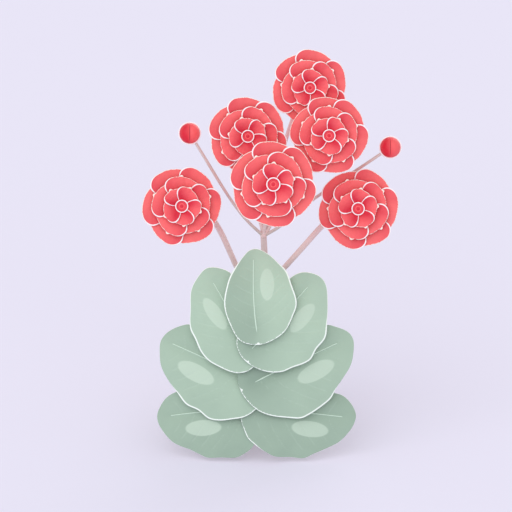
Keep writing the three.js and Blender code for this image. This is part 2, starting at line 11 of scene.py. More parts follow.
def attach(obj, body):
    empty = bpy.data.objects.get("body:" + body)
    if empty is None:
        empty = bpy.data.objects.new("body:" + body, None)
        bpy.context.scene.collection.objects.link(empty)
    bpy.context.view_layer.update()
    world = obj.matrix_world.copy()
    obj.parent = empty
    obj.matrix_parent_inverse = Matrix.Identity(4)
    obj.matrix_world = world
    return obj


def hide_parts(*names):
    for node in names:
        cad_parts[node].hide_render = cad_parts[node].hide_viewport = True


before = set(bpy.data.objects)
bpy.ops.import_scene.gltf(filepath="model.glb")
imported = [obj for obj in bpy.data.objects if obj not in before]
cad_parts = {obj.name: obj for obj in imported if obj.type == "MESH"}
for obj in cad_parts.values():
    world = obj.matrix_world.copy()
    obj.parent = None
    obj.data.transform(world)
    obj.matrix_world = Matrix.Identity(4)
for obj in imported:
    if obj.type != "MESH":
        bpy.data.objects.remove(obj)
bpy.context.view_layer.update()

METRES = 0.001
FACE_ELEVATION = 20

# Sizes of the forms, as in the solids

POT = Sizes(height=76, foot=34, neck=44, collar=47, rim=48, collar_bottom=56, wall=4, floor=5,
            lip=1)
SOIL = Sizes(edge_top=67, crown_top=70, gap=0.3, sunk=0.9, rings=40, sides=150, crumbs=520,
             perlite=0.09)
# The heights at which a stem or stalk stands upright in its hole.
HOLE_LEVELS = [55.3, 66, 76]
STALK = Sizes(radius=2, behind_blade=3, in_blade=2.3)
STEM = Sizes(trunk=2.2, side=2, branch=1.5, thin=1.2, knot=2.5, neck=8)
BLADE = Sizes(thickness=0.96, set_back=0.12, dome=3, wave=0.8, waves=5, stalk_at=0.12,
              crease=0.9, crease_reach=5, crease_starts=14, groove=0.16, roll=0.12, midrib=0.56)
BLOOM = Sizes(reach=30, thickness=0.8, tuck=25, swirl=14, swirl_middle=0.68, root_climb=0.45,
              climb_growth=1.2, back=-11)
PETAL = Sizes(full_at=0.8, tucked_short=0.14, tucked_power=1.2, trim=0.014, roll=0.2)
BUD = Sizes(radius=8.6, depth=6, rim=1.1, seam=0.7, seam_width=1.5)

# The whorls from the inner to the outer one. Wave is where the waves start that its petals
# share, and colour its share of the outer colour. Rim is how wide the pale rim is where it is
# thin, broken how broken up it is there, and teeth whether each petal has a small pale tooth.
WHORLS = [
    Sizes(reach=0.49, root=3.5, root_height=6.2, tip_height=10.5, rise=2.2, corner_short=0.34,
          wave=0.4, colour=0, rim=0.42, broken=1, teeth=1),
    Sizes(reach=0.755, root=4, root_height=3, tip_height=7, rise=2.4, corner_short=0.26,
          wave=1.9, colour=0.5, rim=0.42, broken=1, teeth=1),
    Sizes(reach=1, root=4.5, root_height=-0.5, tip_height=3, rise=2.6, corner_short=0.2,
          wave=3.1, colour=1, rim=0.5, broken=0.6, teeth=0),
]
# Face is the azimuth and elevation that a bloom faces. Edges are the angles of the petals' free
# edges, for each whorl.
BLOOMS = {
    "left": Sizes(at=[-57.3, 167.8, 85], reach=30.7, face=[1, 20], edges=[
        [110, 28, -37, -104, -188], [135, 61, -4, -76, -152], [154, 95, 34, -23, -87, -143]]),
    "upper_left": Sizes(at=[-8, 220.8, 104], reach=30.3, face=[2.6, 15.3], edges=[
        [150, 79, 11, -59, -134], [106, 35, -38, -109, -175], [129, 75, 9, -52, -116, -173]]),
    "centre": Sizes(at=[11.2, 184.3, 123], reach=33.3, face=[1.5, 18], edges=[
        [131, 58, -2, -80, -144], [104, 18, -45, -124, -192], [127, 74, 10, -51, -111, -170]]),
    "upper_right": Sizes(at=[53.2, 220.9, 106], reach=30.2, face=[0, 17.3], edges=[
        [99, 32, -35, -118, -181], [131, 66, -8, -81, -154], [132, 82, 22, -40, -93, -160]]),
    "top": Sizes(at=[38.4, 256.9, 94], reach=29.4, face=[3.5, 17], edges=[
        [126, 51, -19, -91, -159], [148, 82, 8, -62, -135], [168, 118, 56, -5, -66, -128]]),
    "right": Sizes(at=[75.4, 165.9, 85], reach=31.2, face=[-2, 20], edges=[
        [122, 56, -15, -91, -158], [161, 78, 14, -62, -132], [172, 98, 41, -24, -74, -141]]),
}
BUDS = {"left": [-51.2, 222.5, 88], "right": [99.3, 212, 84]}


class Leaf(Sizes):
    """A leaf. Where it gives no others it has these: a thin pale rim all round, and no tooth."""
    over, thin_rim, tooth, spokes = (0, 1, -99), 0.12, None, 200


# Front leaves. The spot is its middle, half length, half width and turn in degrees. The light side
# is which side of the midrib is painted lighter; the other side carries painted shade, as if light
# fell across the fold. -1 is to the right of the way to the tip. Over is the line [across, up,
# level] below which the leaf lies over others, where its rim is widest. The tone is painted shade:
# how light the whole leaf is, darker on the lower leaves as if in the shade of those above; the
# contrast of painted shade across the midrib; and how much darker the base is painted, as if in
# the shade of the leaf above.
FRONT_LEAVES = {
    "top": Leaf(outline=[
        [-0.8, 136], [7.9, 131.9], [14.6, 126], [21.4, 119.2], [24.8, 110.2], [29.1, 95.2],
        [26.2, 85.5], [19.9, 73.8], [9, 66.3], [-0.8, 63.8], [-13.1, 66.8], [-20.6, 78.3],
        [-25.4, 93.7], [-23.4, 108], [-20.2, 117], [-11.2, 130.1], [-6.4, 134.9]],
        base=[-1, 82], toward=93, lean=[0, -0.12], phase=0.4, crest=[-0.5, -44, 103],
        root=[0, -24], midrib=[[-0.8, 73.5], [-2.3, 85.5], [-3.4, 103.5], [-3.4, 127.5]],
        spot=[6.8, 109.2, 12, 5.3, 90], light=-1, tooth=[0.2, 63.7], tone=[0.68, 0.29, 0.16],
        over=[0, 1, 124], thin_rim=0.42),
    "upper_left": Leaf(outline=[
        [-21.4, 118.5], [-32.6, 122.2], [-39.4, 121.1], [-45.8, 114], [-50.2, 105], [-50.8, 90],
        [-50.9, 76.1], [-47.2, 68.2], [-42.8, 58.5], [-36.8, 51.7], [-28.1, 46.8], [-20.2, 43.5],
        [-13.5, 42.7], [-6.8, 44.6], [-0.4, 51], [1.1, 60.7], [-2.2, 71.2], [-7.9, 84], [-12, 99],
        [-16.5, 111]],
        base=[-9.5, 69], toward=86, lean=[0.15, -0.05], phase=1.1, crest=[-8, -45, 93],
        root=[-7.5, -31], midrib=[[-3.8, 60], [-14, 77], [-25.9, 97.5], [-33.4, 110.2]],
        spot=[-32.3, 87, 13.9, 5.3, -55], light=1, tone=[0.69, 0.12, 0.08], over=[0, 1, 79],
        thin_rim=0.42),
    "upper_right": Leaf(outline=[
        [-16.1, 66.7], [-13.9, 57.7], [-9, 51.3], [-2.2, 46.8], [4.5, 44.2], [11.2, 43.1],
        [18.8, 43.8], [25.9, 46.8], [33.8, 49.5], [39.4, 52.8], [43.9, 60.7], [50.6, 69.3],
        [52, 82.5], [52.5, 95.2], [50.9, 109.5], [46.1, 115.5], [35.2, 118.6], [28.5, 117],
        [21.8, 111.7], [13.5, 97.5], [5.2, 82.5], [-4.5, 76.8], [-12.4, 74.2]],
        base=[8, 69], toward=88, lean=[-0.15, -0.05], phase=2.3, crest=[8, -45, 93], root=[8, -31],
        midrib=[[-4.5, 61], [10, 77], [28.7, 97.8], [37.3, 107.2]], spot=[33.2, 84, 13.1, 5.6, 50],
        light=-1, tooth=[-8.4, 50.4], tone=[0.74, 0.14, 0.38], over=[0, 1, 80], thin_rim=0.42),
    "middle_left": Leaf(outline=[
        [-52.1, 79.2], [-57.4, 78.3], [-64.1, 75.7], [-69.8, 71.6], [-73.3, 66], [-73.9, 57.7],
        [-72.9, 48], [-68.2, 38.2], [-61.1, 28.4], [-54, 19.1], [-45, 14.6], [-36.8, 8.2],
        [-28.1, 6.9], [-18.8, 8], [-11.2, 9.3], [-3.8, 13.4], [2.6, 20.9], [3.8, 31.4],
        [-1.5, 42.7], [-11.2, 52.5], [-27, 66], [-40.5, 75.3]],
        base=[-14, 42], toward=78, lean=[0.15, 0], phase=0.2, crest=[-15.5, -43, 85],
        root=[-15.5, -29], midrib=[[-4.5, 37.5], [-24, 46.5], [-42, 54.7], [-64, 64.5]],
        spot=[-46.5, 42.7, 15, 6.4, -28], light=1, tone=[0.55, 0.12, -0.25], over=[0, 1, 29]),
    "middle_right": Leaf(outline=[
        [52.5, 78.8], [58.5, 77.4], [64.5, 75.3], [69, 72.3], [71.7, 67.5], [71.9, 59.2],
        [69.8, 48.7], [63.8, 38.6], [58.5, 30.7], [54.8, 23.6], [48.8, 18.3], [38.2, 11.2],
        [32.2, 8.6], [23.2, 8.9], [9, 10.8], [0, 14.6], [-7.9, 21.7], [-12.8, 29.2], [-15.3, 39.7],
        [-12.8, 48], [-1.5, 54.7], [18, 64.5], [35.2, 74.2]],
        base=[13.5, 42], toward=80, lean=[-0.15, 0], phase=1.7, crest=[15.5, -43, 85],
        root=[16, -29], midrib=[[-2.3, 35.8], [10.1, 42.3], [43.5, 57.7], [59.3, 64.9]],
        spot=[43.5, 43.8, 15, 6.4, 27], light=-1, tooth=[-13.1, 29.7], tone=[0.58, 0.08, 0.4],
        over=[0, 1, 29]),
    "lower_left": Leaf(outline=[
        [-62.2, 28.1], [-68.6, 24.3], [-73.1, 18.3], [-75.8, 11.2], [-75, 4.8], [-70.5, -2.7],
        [-64.5, -9.1], [-58.5, -12.4], [-51, -15.1], [-43.5, -18.8], [-37.9, -21.1], [-27.8, -21],
        [-16.9, -21.1], [-11.2, -18.7], [-3.8, -12.8], [-1, -5], [-1.5, 6], [-6, 16],
        [-13.5, 23.9], [-32.2, 29.2], [-48.8, 31.1]],
        base=[-22, 16], toward=70, lean=[0.15, 0.04], phase=2.9, crest=[-23.5, -43.5, 83],
        root=[-23.5, -24], midrib=[[-6, 17.5], [-25, 15.3], [-44.3, 13.2], [-65.3, 10.6]],
        spot=[-41, 1.3, 13.5, 5.9, 3], light=1, tone=[0.4, 0, 0.02]),
    "lower_right": Leaf(outline=[
        [57.9, 27.5], [64.1, 25.4], [70.1, 19.4], [73.7, 11.2], [72, 3.7], [67.1, -3.4],
        [60.8, -9.4], [51, -14.3], [42, -18.1], [34.1, -21.5], [24.8, -20.7], [12.8, -20.2],
        [6, -16.9], [-2.2, -11.3], [-7.5, -6.4], [-10.9, 1.4], [-12.9, 9.7], [-9, 16.4], [3, 22.4],
        [20.2, 26.9], [40.5, 29.2]],
        base=[21, 16], toward=71.5, lean=[-0.15, 0.04], phase=0.9, crest=[23.5, -43.5, 83],
        root=[24, -24], midrib=[[-8, 17], [16, 14.8], [41.5, 12.2], [63.2, 9.7]],
        spot=[38.9, 0.5, 13.9, 6, -7], light=-1, tone=[0.34, 0.06, 0.02], over=[1, 0, -0.5]),
}

# The other leaves share one lopsided outline, on a blade of length 1 from stalk to tip.
BLADE_OUTLINE = [
    [-0.02, 0.02], [-0.06, 0.2], [0.06, 0.37], [0.28, 0.47], [0.5, 0.48], [0.72, 0.41],
    [0.88, 0.25], [1, 0.05], [0.96, -0.14], [0.8, -0.34], [0.58, -0.43], [0.36, -0.45],
    [0.14, -0.36], [0, -0.2]]
BACK_LEAVES = {
    "top": Leaf(
        base=[0, 56], bearing=88, length=52, width=46, toward=88, lean=[0, -0.2], phase=0.5,
        crest=[0, -46, 96], root=[0, -26]),
    "upper_left": Leaf(
        base=[-11, 50], bearing=138, length=48, width=46, toward=79, lean=[0.12, -0.1], phase=1.5,
        crest=[-11, -46, 90], root=[-11, -30]),
    "upper_right": Leaf(
        base=[11, 50], bearing=42, length=48, width=-46, toward=77, lean=[-0.12, -0.1], phase=2.5,
        crest=[11, -46, 90], root=[11, -30]),
    "lower_left": Leaf(
        base=[-14, 28], bearing=207, length=46, width=44, toward=71, lean=[0.12, 0.05], phase=0.1,
        crest=[-20, -43.5, 83], root=[-21, -26]),
    "lower_right": Leaf(
        base=[14, 28], bearing=-27, length=46, width=-44, toward=71, lean=[-0.12, 0.05], phase=0.7,
        crest=[20, -43.5, 83], root=[21, -26]),
}
SIDE_SHAPES = {
    "left": Leaf(
        base=[-13, 44], bearing=252, length=46, width=40, toward=75.5, lean=[0, 0.38], phase=1.3,
        crest=[-10, -46.5, 82], root=[-9, -33]),
    "right": Leaf(
        base=[13, 42], bearing=-62, length=42, width=-38, toward=71.5, lean=[0, 0.38], phase=2.1,
        crest=[10, -46.5, 82], root=[9, -33]),
}
# The shape of each side leaf, and the azimuth that it faces.
SIDE_LEAVES = {
    "right_front": ("left", 90), "right_back": ("right", 90),
    "left_back": ("left", -90), "left_front": ("right", -90),
}
INNER_LEAF = Leaf(base=[0, 87.2], bearing=-90, length=24, width=27, toward=53, lean=[0, -1],
                  crest=[0, -18.5, 90], root=[0, -20])
# The azimuth that each inner leaf faces, and the start of its waves.
INNER_LEAVES = {
    "right": (92, 0.3), "left": (-92, 1.9), "back_right": (148, 2.6), "back_left": (-148, 1.2),
}

FLOWER_STEMS = {
    "left": Sizes(foot=[-8, 2], lift=[-8.5, 0, 95], way=[
        [-13.3, 116.5, 42], [-16.7, 123.7, 44.5], [-30, 152, 52], [-37.5, 161.5, 56],
        [-47.5, 167.3, 60], [-54.3, 168.2, 63.2]]),
    "right": Sizes(foot=[11, 2], lift=[11.5, 0, 95], way=[
        [14.3, 115.5, 42], [20.3, 122.2, 44], [33.8, 137.2, 48], [47.3, 152.2, 52.5],
        [57, 161, 56.5], [67, 165.6, 60.5], [72.8, 166.3, 63.3]]),
    "centre": Sizes(foot=[2, 9], lift=[3.5, 7, 100], way=[[5.2, 124, 46], [4.8, 134.5, 50.8]]),
}
FORK = [4.2, 145.5, 58.5]
BRANCHES = {
    "upper_left": [[2.6, 153.3, 59], [0, 162, 60], [-4.5, 183.7, 63], [-6.8, 208, 70],
                   [-8.2, 219.5, 77.5]],
    "centre": [[5.2, 153.3, 62.5], [8.6, 166, 76], [11, 179, 90.5]],
    "upper_right": [[9, 153.3, 60], [13, 163, 61], [22, 186, 66], [40, 209, 72],
                    [49.5, 218.5, 78.5]],
    "top": [[7, 153.3, 57.5], [9.5, 165, 58], [15, 195, 58.5], [21.5, 220, 59], [29, 241, 61],
            [34.2, 252, 64.5], [36.8, 257, 69.5]],
}
BUD_STEMS = {
    "left": [[-7.7, 156.6, 66], [-19.3, 171.2, 71]],
    "right": [[16.5, 152.9, 65], [36.1, 169.1, 70]],
}

# Frames and curves

def axes_of(azimuth, elevation):
    """Rows across, up and toward, for a piece that faces along azimuth and elevation."""
    a, e = math.radians(azimuth), math.radians(elevation)
    return np.array([
        [math.cos(a), math.sin(a), 0],
        [-math.sin(a) * math.sin(e), math.cos(a) * math.sin(e), math.cos(e)],
        [math.sin(a) * math.cos(e), -math.cos(a) * math.cos(e), math.sin(e)]])


FRONT = axes_of(0, FACE_ELEVATION)
SPLINE_STEPS = 24


def seen(places):
    """Places seen from the front, as places in the frame."""
    return np.asarray(places, float) @ FRONT


def size_of(ways):
    return np.linalg.norm(ways, axis=-1)


def unit(ways):
    return ways / size_of(ways)[..., None]


def around(count):
    """Angles evenly spaced round a circle."""
    return np.linspace(0, 2 * math.pi, count, endpoint=False)


def polar(radius, angle, height=0):
    """Places at a distance and an angle round the upright axis, and at a height."""
    places = radius * np.cos(angle), radius * np.sin(angle), height
    return np.stack(np.broadcast_arrays(*places), axis=-1).reshape(-1, 3)


def smooth(value, low, high):
    """From 0 at the low value to 1 at the high one, with no corner."""
    t = np.clip((np.asarray(value, float) - low) / (high - low), 0, 1)
    return t * t * (3 - 2 * t)


def near(distance, reach):
    """From 1 at no distance down to 0, in the shape of a bell."""
    return np.exp(-(distance / reach) ** 2)


def spline(points, closed=False):
    """The centripetal Catmull-Rom curve through the points."""
    p = np.asarray(points, float)
    ends = (p[-1:], p[:2]) if closed else ([2 * p[0] - p[1]], [2 * p[-1] - p[-2]])
    p = np.vstack([ends[0], p, ends[1]])
    t = np.linspace(0, 1, SPLINE_STEPS, endpoint=False)[:, None]
    pieces = []
    for p0, p1, p2, p3 in zip(p, p[1:], p[2:], p[3:]):
        d0, d1, d2 = (max(size_of(d), 1e-6) ** 0.5 for d in (p1 - p0, p2 - p1, p3 - p2))
        v1 = d1 * ((p1 - p0) / d0 - (p2 - p0) / (d0 + d1) + (p2 - p1) / d1)
        v2 = d1 * ((p2 - p1) / d1 - (p3 - p1) / (d1 + d2) + (p3 - p2) / d2)
        pieces.append(p1 + t * v1 + t ** 2 * (3 * (p2 - p1) - 2 * v1 - v2)
                      + t ** 3 * (2 * (p1 - p2) + v1 + v2))
    return np.vstack([*pieces, p[-2:-1]])


def travelled(line):
    """The length of a line up to each of its points."""
    return np.append(0, np.cumsum(size_of(np.diff(line, axis=0))))


def evenly(curve, count):
    """Points evenly spaced along a curve, from end to end."""
    along = travelled(curve)
    stops = np.linspace(0, along[-1], count)
    return np.column_stack([np.interp(stops, along, values) for values in curve.T])


def to_line(points, line):
    """How far each point is from a line of points, and the nearest place as an index along it."""
    far, place = np.full(len(points), 1e9), np.zeros(len(points))
    for i, (start, way) in enumerate(zip(line, np.diff(line, axis=0))):
        share = np.clip((points - start) @ way / max(way @ way, 1e-12), 0, 1)
        gap = size_of(points - start - share[:, None] * way)
        nearer = gap < far
        far[nearer], place[nearer] = gap[nearer], i + share[nearer]
    return far, place


# Mesh making

def new_object(name, data):
    made = bpy.data.objects.new(name, data)
    bpy.context.scene.collection.objects.link(made)
    return made


class Form:
    """Sheets, tubes and turned shapes that become one mesh, each point with its values."""

    def __init__(self):
        self.points, self.faces, self.values, self.count = [], [], [], 0

    def add(self, points, faces, **values):
        self.points.append(points)
        self.faces += [[i + self.count for i in f] for f in faces]
        self.values.append(values)
        self.count += len(points)

    def piece(self, node, slot, at=0, axes=np.eye(3)):
        """Make the piece for a CAD node, with its middle and its axes."""
        mesh = bpy.data.meshes.new(node + "_look")
        points = at + np.vstack(self.points) @ axes
        mesh.from_pydata((points * METRES).tolist(), [], self.faces)
        for key in sorted(set().union(*self.values)):
            size = 3 if key == "grain" else 1
            data = [np.broadcast_to(np.reshape(v.get(key, [0] * size), (-1, size)), (len(p), size))
                    for p, v in zip(self.points, self.values)]
            kind, field = ("FLOAT", "value") if size == 1 else ("FLOAT_VECTOR", "vector")
            made = mesh.attributes.new(key, kind, "POINT")
            made.data.foreach_set(field, np.vstack(data).astype(np.float32).ravel())
        mesh.shade_smooth()
        mesh.materials.append(MATERIALS[slot])
        mesh.validate()
        mesh.update()
        made = new_object(mesh.name, mesh)
        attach(made, "root")
        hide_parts(node)


def grid_faces(index, flip=False):
    """The faces between the points of a grid, given by their numbers."""
    corners = index[:-1, :-1], index[1:, :-1], index[1:, 1:], index[:-1, 1:]
    faces = np.stack(corners, axis=-1).reshape(-1, 4)
    return (faces[:, ::-1] if flip else faces).tolist()


def loops(rows, sides, first=0):
    """The numbers of the points in rows that close on themselves."""
    index = first + np.arange(rows * sides).reshape(rows, sides)
    return np.column_stack([index, index[:, 0]])


def capped_faces(rows, sides, flip=False):
    """The faces of closed rows of points, with one point before them and one after."""
    index = loops(rows, sides, 1)
    last = rows * sides + 1
    top, bottom = index[0].tolist(), index[-1].tolist()
    faces = grid_faces(index)
    faces += [(0, a, b) for a, b in zip(top, top[1:])]
    faces += [(last, b, a) for a, b in zip(bottom, bottom[1:])]
    return [f[::-1] for f in faces] if flip else faces


TIP = np.radians([25, 55, 80])


def tip_of(end, before, radius):
    """The points of the round tip of a tube, on from its end."""
    return end + unit(end - before) * (0.5 * radius * np.sin(TIP))[:, None]


def add_tube(form, line, radii, sides, **values):
    """A tube with no twist and round tips. Its values may differ along the line."""
    values = {k: np.repeat(np.pad(np.broadcast_to(v, len(line)), len(TIP), mode="edge"), sides)
              for k, v in values.items()}
    start = tip_of(line[0], line[1], radii[0])
    end = tip_of(line[-1], line[-2], radii[-1])
    line = np.vstack([start[::-1], line, end])
    radii = np.concatenate([radii[0] * np.cos(TIP)[::-1], radii, radii[-1] * np.cos(TIP)])
    turn = around(sides)
    way = unit(np.gradient(line, axis=0))
    side = np.cross(way[0], [0.3, 0.8, 0.52])
    rows, grain = [], []
    for p, w, r, along in zip(line, way, radii, travelled(line)):
        side = unit(side - w * (side @ w))
        rows.append(p + polar(r, turn) @ [side, np.cross(w, side), w])
        grain.append(polar(r, turn, along))
    index = loops(len(line), sides)
    faces = grid_faces(index, flip=True) + [index[0, :-1].tolist(), index[-1, -2::-1].tolist()]
    form.add(np.vstack(rows), faces, grain=np.vstack(grain), **values)


def turned(profile, sides):
    """The points and faces of a profile turned round the upright axis, on which it ends."""
    radius, height = np.array(profile, float).T[..., None]
    rows = polar(radius[1:-1], around(sides), height[1:-1])
    points = np.vstack([polar(0, 0, height[0]), rows, polar(0, 0, height[-1])])
    return points, capped_faces(len(radius) - 2, sides, flip=True)


def add_turned(form, profile, sides, **values):
    points, faces = turned(profile, sides)
    repeats = [1] + [sides] * (len(profile) - 2) + [1]
    values = {k: np.repeat(np.broadcast_to(v, len(profile)), repeats) for k, v in values.items()}
    form.add(points, faces, grain=points, **values)


def ball(rings):
    """The profile of a ball of radius 1, from below."""
    angle = np.linspace(0, math.pi, rings + 1)
    return np.column_stack([np.sin(angle), -np.cos(angle)])


def add_ring(form, radius, size, height, **values):
    """A round ring about the upright axis."""
    turn, across = around(96)[:, None], around(12)
    points = polar(radius + size * np.cos(across), turn, height + size * np.sin(across))
    index = loops(len(turn), len(across))
    form.add(points, grid_faces(np.vstack([index, index[:1]])), grain=points, **values)


# Materials

# Colours as they show on a screen, 0 to 255.
# The dark and light colours of the petals, leaves and buds are the two ends of their painted
# shade.
COLOURS = {
    "inner_dark": (220, 46, 68), "inner_light": (255, 110, 114), "outer_dark": (226, 70, 84),
    "outer_light": (252, 116, 116), "petal_back": (250, 158, 156), "petal_rim": (255, 251, 253),
    "petal_cream": (255, 243, 232), "calyx": (212, 192, 178),
    "leaf_dark": (136, 159, 143), "leaf_light": (178, 203, 182), "leaf_back": (206, 214, 196),
    "leaf_spot": (200, 221, 202), "rib": (206, 228, 211), "leaf_rim": (243, 253, 246),
    "stalk_dark": (190, 152, 152), "stalk_light": (212, 182, 180),
    "stem_dark": (229, 204, 203), "stem_light": (244, 225, 224), "stem_blush": (210, 168, 167),
    "stem_green": (202, 191, 184),
    "bud_dark": (219, 32, 54), "bud_light": (255, 108, 110), "bud_seam": (168, 30, 48),
    "clay_dark": (186, 112, 86), "clay_light": (214, 150, 124), "clay_salt": (230, 200, 184),
    "clay_grit": (150, 84, 64), "clay_deep": (128, 76, 60),
    "soil_dark": (42, 29, 22), "soil_light": (92, 67, 50), "soil_crumb": (124, 96, 74),
    "perlite": (214, 208, 198),
    "floor": (187, 185, 197), "floor_light": (189, 187, 199), "floor_glow": (234, 231, 250),
}


def linear(name):
    """A named colour as Blender's own numbers."""
    c = np.array(COLOURS[name]) / 255
    return (*np.where(c <= 0.04045, c / 12.92, ((c + 0.055) / 1.055) ** 2.4), 1)


class Shader:
    """A material and the few kinds of node that it is made of."""

    def __init__(self, name, **sockets):
        self.material = bpy.data.materials.new(name)
        self.material.use_nodes = True
        self.tree = self.material.node_tree
        self.tree.nodes.clear()
        end = self.tree.nodes.new("ShaderNodeOutputMaterial")
        self.bsdf = self.tree.nodes.new("ShaderNodeBsdfPrincipled")
        self.tree.links.new(self.bsdf.outputs[0], end.inputs["Surface"])
        for key, value in sockets.items():
            self.bsdf.inputs[key.replace("_", " ")].default_value = value

    def node(self, kind, inputs, output=0, **settings):
        made = self.tree.nodes.new("ShaderNode" + kind)
        for key, value in settings.items():
            setattr(made, key, value)
        for key, value in inputs.items():
            if isinstance(value, bpy.types.NodeSocket):
                self.tree.links.new(value, made.inputs[key])
            else:
                made.inputs[key].default_value = value
        return made.outputs[output]

    def value(self, name):
        return self.node("Attribute", {}, "Fac", attribute_name=name)

    def grain(self):
        """A place along and across the piece, in millimetres."""
        return self.node("Attribute", {}, "Vector", attribute_name="grain")

    def place(self):
        return self.node("TexCoord", {}, "Object")

    def noise(self, where, scale, detail=3, stretch=(1, 1, 1), roughness=0.5):
        spot = self.node("Mapping", {"Vector": where, "Scale": stretch})
        return self.node("TexNoise", {"Vector": spot, "Scale": scale, "Detail": detail,
                                      "Roughness": roughness}, "Fac")

    def cells(self, where, scale):
        return self.node("TexVoronoi", {"Vector": where, "Scale": scale}, "Distance")

    def times(self, a, b):
        return self.node("Math", {0: a, 1: b}, operation="MULTIPLY")

    def plus(self, a, b, share=1.0):
        """The first value and a share of the second."""
        return self.node("Math", {0: b, 1: share, 2: a}, operation="MULTIPLY_ADD")

    def vary(self, value, noise, amount):
        """The value, moved up and down by a noise that has its middle at a half."""
        return self.plus(self.plus(value, noise, amount), -0.5, amount)

    def ramp(self, value, low, high, to_low=0.0, to_high=1.0):
        return self.node("MapRange", {"Value": value, "From Min": low, "From Max": high,
                                      "To Min": to_low, "To Max": to_high},
                         interpolation_type="SMOOTHSTEP")

    def mix(self, share, a, b):
        """From one to the other of two colours, named or made by other nodes."""
        a, b = (linear(c) if isinstance(c, str) else c for c in (a, b))
        return self.node("Mix", {0: share, 6: a, 7: b}, 2, data_type="RGBA")

    def finish(self, colour, roughness, height=None, strength=0.0, distance=0.0):
        link = self.tree.links.new
        link(colour, self.bsdf.inputs["Base Color"])
        link(roughness, self.bsdf.inputs["Roughness"])
        if height is not None:
            bump = self.node("Bump", {"Height": height, "Strength": strength,
                                      "Distance": distance})
            link(bump, self.bsdf.inputs["Normal"])
        return self.material


def petal_material():
    s = Shader("petal", Sheen_Weight=0.12, Sheen_Roughness=0.5, Specular_IOR_Level=0.25)
    grain = s.grain()
    streaks = s.noise(grain, 1, 3, (2.2, 0.12, 1))
    shade = s.vary(s.value("shade"), streaks, 0.22)
    shade = s.vary(shade, s.noise(grain, 0.16, 2), 0.3)
    # The colour runs from dark to light with the painted shade and its streaks, in the inner and
    # the outer colours.
    colour = s.mix(s.value("whorl"), s.mix(shade, "inner_dark", "inner_light"),
                   s.mix(shade, "outer_dark", "outer_light"))
    colour = s.mix(s.times(s.value("under"), 0.5), colour, "petal_back")
    gaps = s.times(s.value("dash"), s.ramp(s.noise(grain, 1.1, 1), 0.45, 0.62))
    edge = s.plus(s.value("edge"), gaps, 0.8)
    rim = s.mix(s.value("cream"), "petal_rim", "petal_cream")
    colour = s.mix(s.ramp(edge, 1.05, 0.7), colour, rim)
    colour = s.mix(s.value("green"), colour, "calyx")
    return s.finish(colour, s.ramp(streaks, 0.2, 0.8, 0.42, 0.6), streaks, 0.35, 0.0003)


def leaf_material():
    s = Shader("leaf", Sheen_Weight=0.06, Specular_IOR_Level=0.3)
    place, grain = s.place(), s.grain()
    mottle = s.noise(place, 70, 4)
    # From dark to light with the painted shade and a mottle.
    colour = s.mix(s.vary(s.value("shade"), mottle, 0.25), "leaf_dark", "leaf_light")
    veins = s.ramp(s.value("vein"), 0.9, 0.15)
    colour = s.mix(s.times(veins, 0.1), colour, "rib")
    spot = s.ramp(s.vary(s.value("spot"), mottle, 0.1), 1.07, 0.93)
    colour = s.mix(s.times(spot, 0.63), colour, "leaf_spot")
    colour = s.mix(s.times(s.value("under"), 0.7), colour, "leaf_back")
    colour = s.mix(s.value("rib"), colour, "rib")
    gaps = s.ramp(s.noise(grain, 0.9, 1), 0.45, 0.6)
    edge = s.plus(s.value("edge"), s.times(s.value("dash"), gaps))
    colour = s.mix(s.ramp(edge, 1.1, 0.75), colour, "leaf_rim")
    stalk = s.mix(s.noise(grain, 1, 2, (1, 1, 0.1)), "stalk_dark", "stalk_light")
    colour = s.mix(s.value("pink"), colour, stalk)
    height = s.plus(s.times(s.cells(place, 1400), 0.3), veins, -1.0)
    return s.finish(colour, s.ramp(mottle, 0.3, 0.7, 0.46, 0.6), height, 0.25, 0.0002)


def stem_material():
    s = Shader("stem", Sheen_Weight=0.15, Specular_IOR_Level=0.25)
    grain = s.grain()
    streaks = s.noise(grain, 1, 3, (1.3, 1.3, 0.06))
    colour = s.mix(streaks, "stem_dark", "stem_light")
    blush = s.ramp(s.noise(grain, 0.05, 2), 0.45, 0.75, 0, 0.4)
    colour = s.mix(blush, colour, "stem_blush")
    colour = s.mix(s.value("green"), colour, "stem_green")
    height = s.plus(s.times(streaks, 0.7), s.cells(grain, 1.6), 0.3)
    return s.finish(colour, s.ramp(streaks, 0.3, 0.7, 0.5, 0.65), height, 0.3, 0.0003)


def bud_material():
    s = Shader("bud", Coat_Weight=0.1, Coat_Roughness=0.3, Specular_IOR_Level=0.3)
    streaks = s.noise(s.grain(), 1, 3, (1.6, 0.25, 1))
    # From dark to light with the painted shade and its streaks.
    colour = s.mix(s.vary(s.value("shade"), streaks, 0.2), "bud_dark", "bud_light")
    colour = s.mix(s.ramp(s.value("seam"), 1, 0.3, 0, 0.85), colour, "bud_seam")
    colour = s.mix(s.ramp(s.value("edge"), 1.05, 0.8), colour, "petal_rim")
    return s.finish(colour, s.ramp(streaks, 0.3, 0.7, 0.34, 0.48), streaks, 0.25, 0.0003)


def clay_material():
    s = Shader("clay", Specular_IOR_Level=0.2)
    place = s.place()
    cloud, grit = s.noise(place, 18, 4), s.noise(place, 900, 4)
    rings = s.noise(place, 1, 2, (4, 4, 420))
    salt = s.ramp(s.noise(place, 32, 6, roughness=0.65), 0.52, 0.75, 0, 0.6)
    colour = s.mix(salt, s.mix(cloud, "clay_dark", "clay_light"), "clay_salt")
    colour = s.mix(s.ramp(grit, 0.62, 0.72, 0, 0.45), colour, "clay_grit")
    colour = s.mix(s.times(s.value("damp"), 0.45), colour, "clay_deep")
    height = s.plus(s.times(grit, 0.5), rings, 0.8)
    return s.finish(colour, s.ramp(cloud, 0.3, 0.7, 0.78, 0.92), height, 0.35, 0.0005)


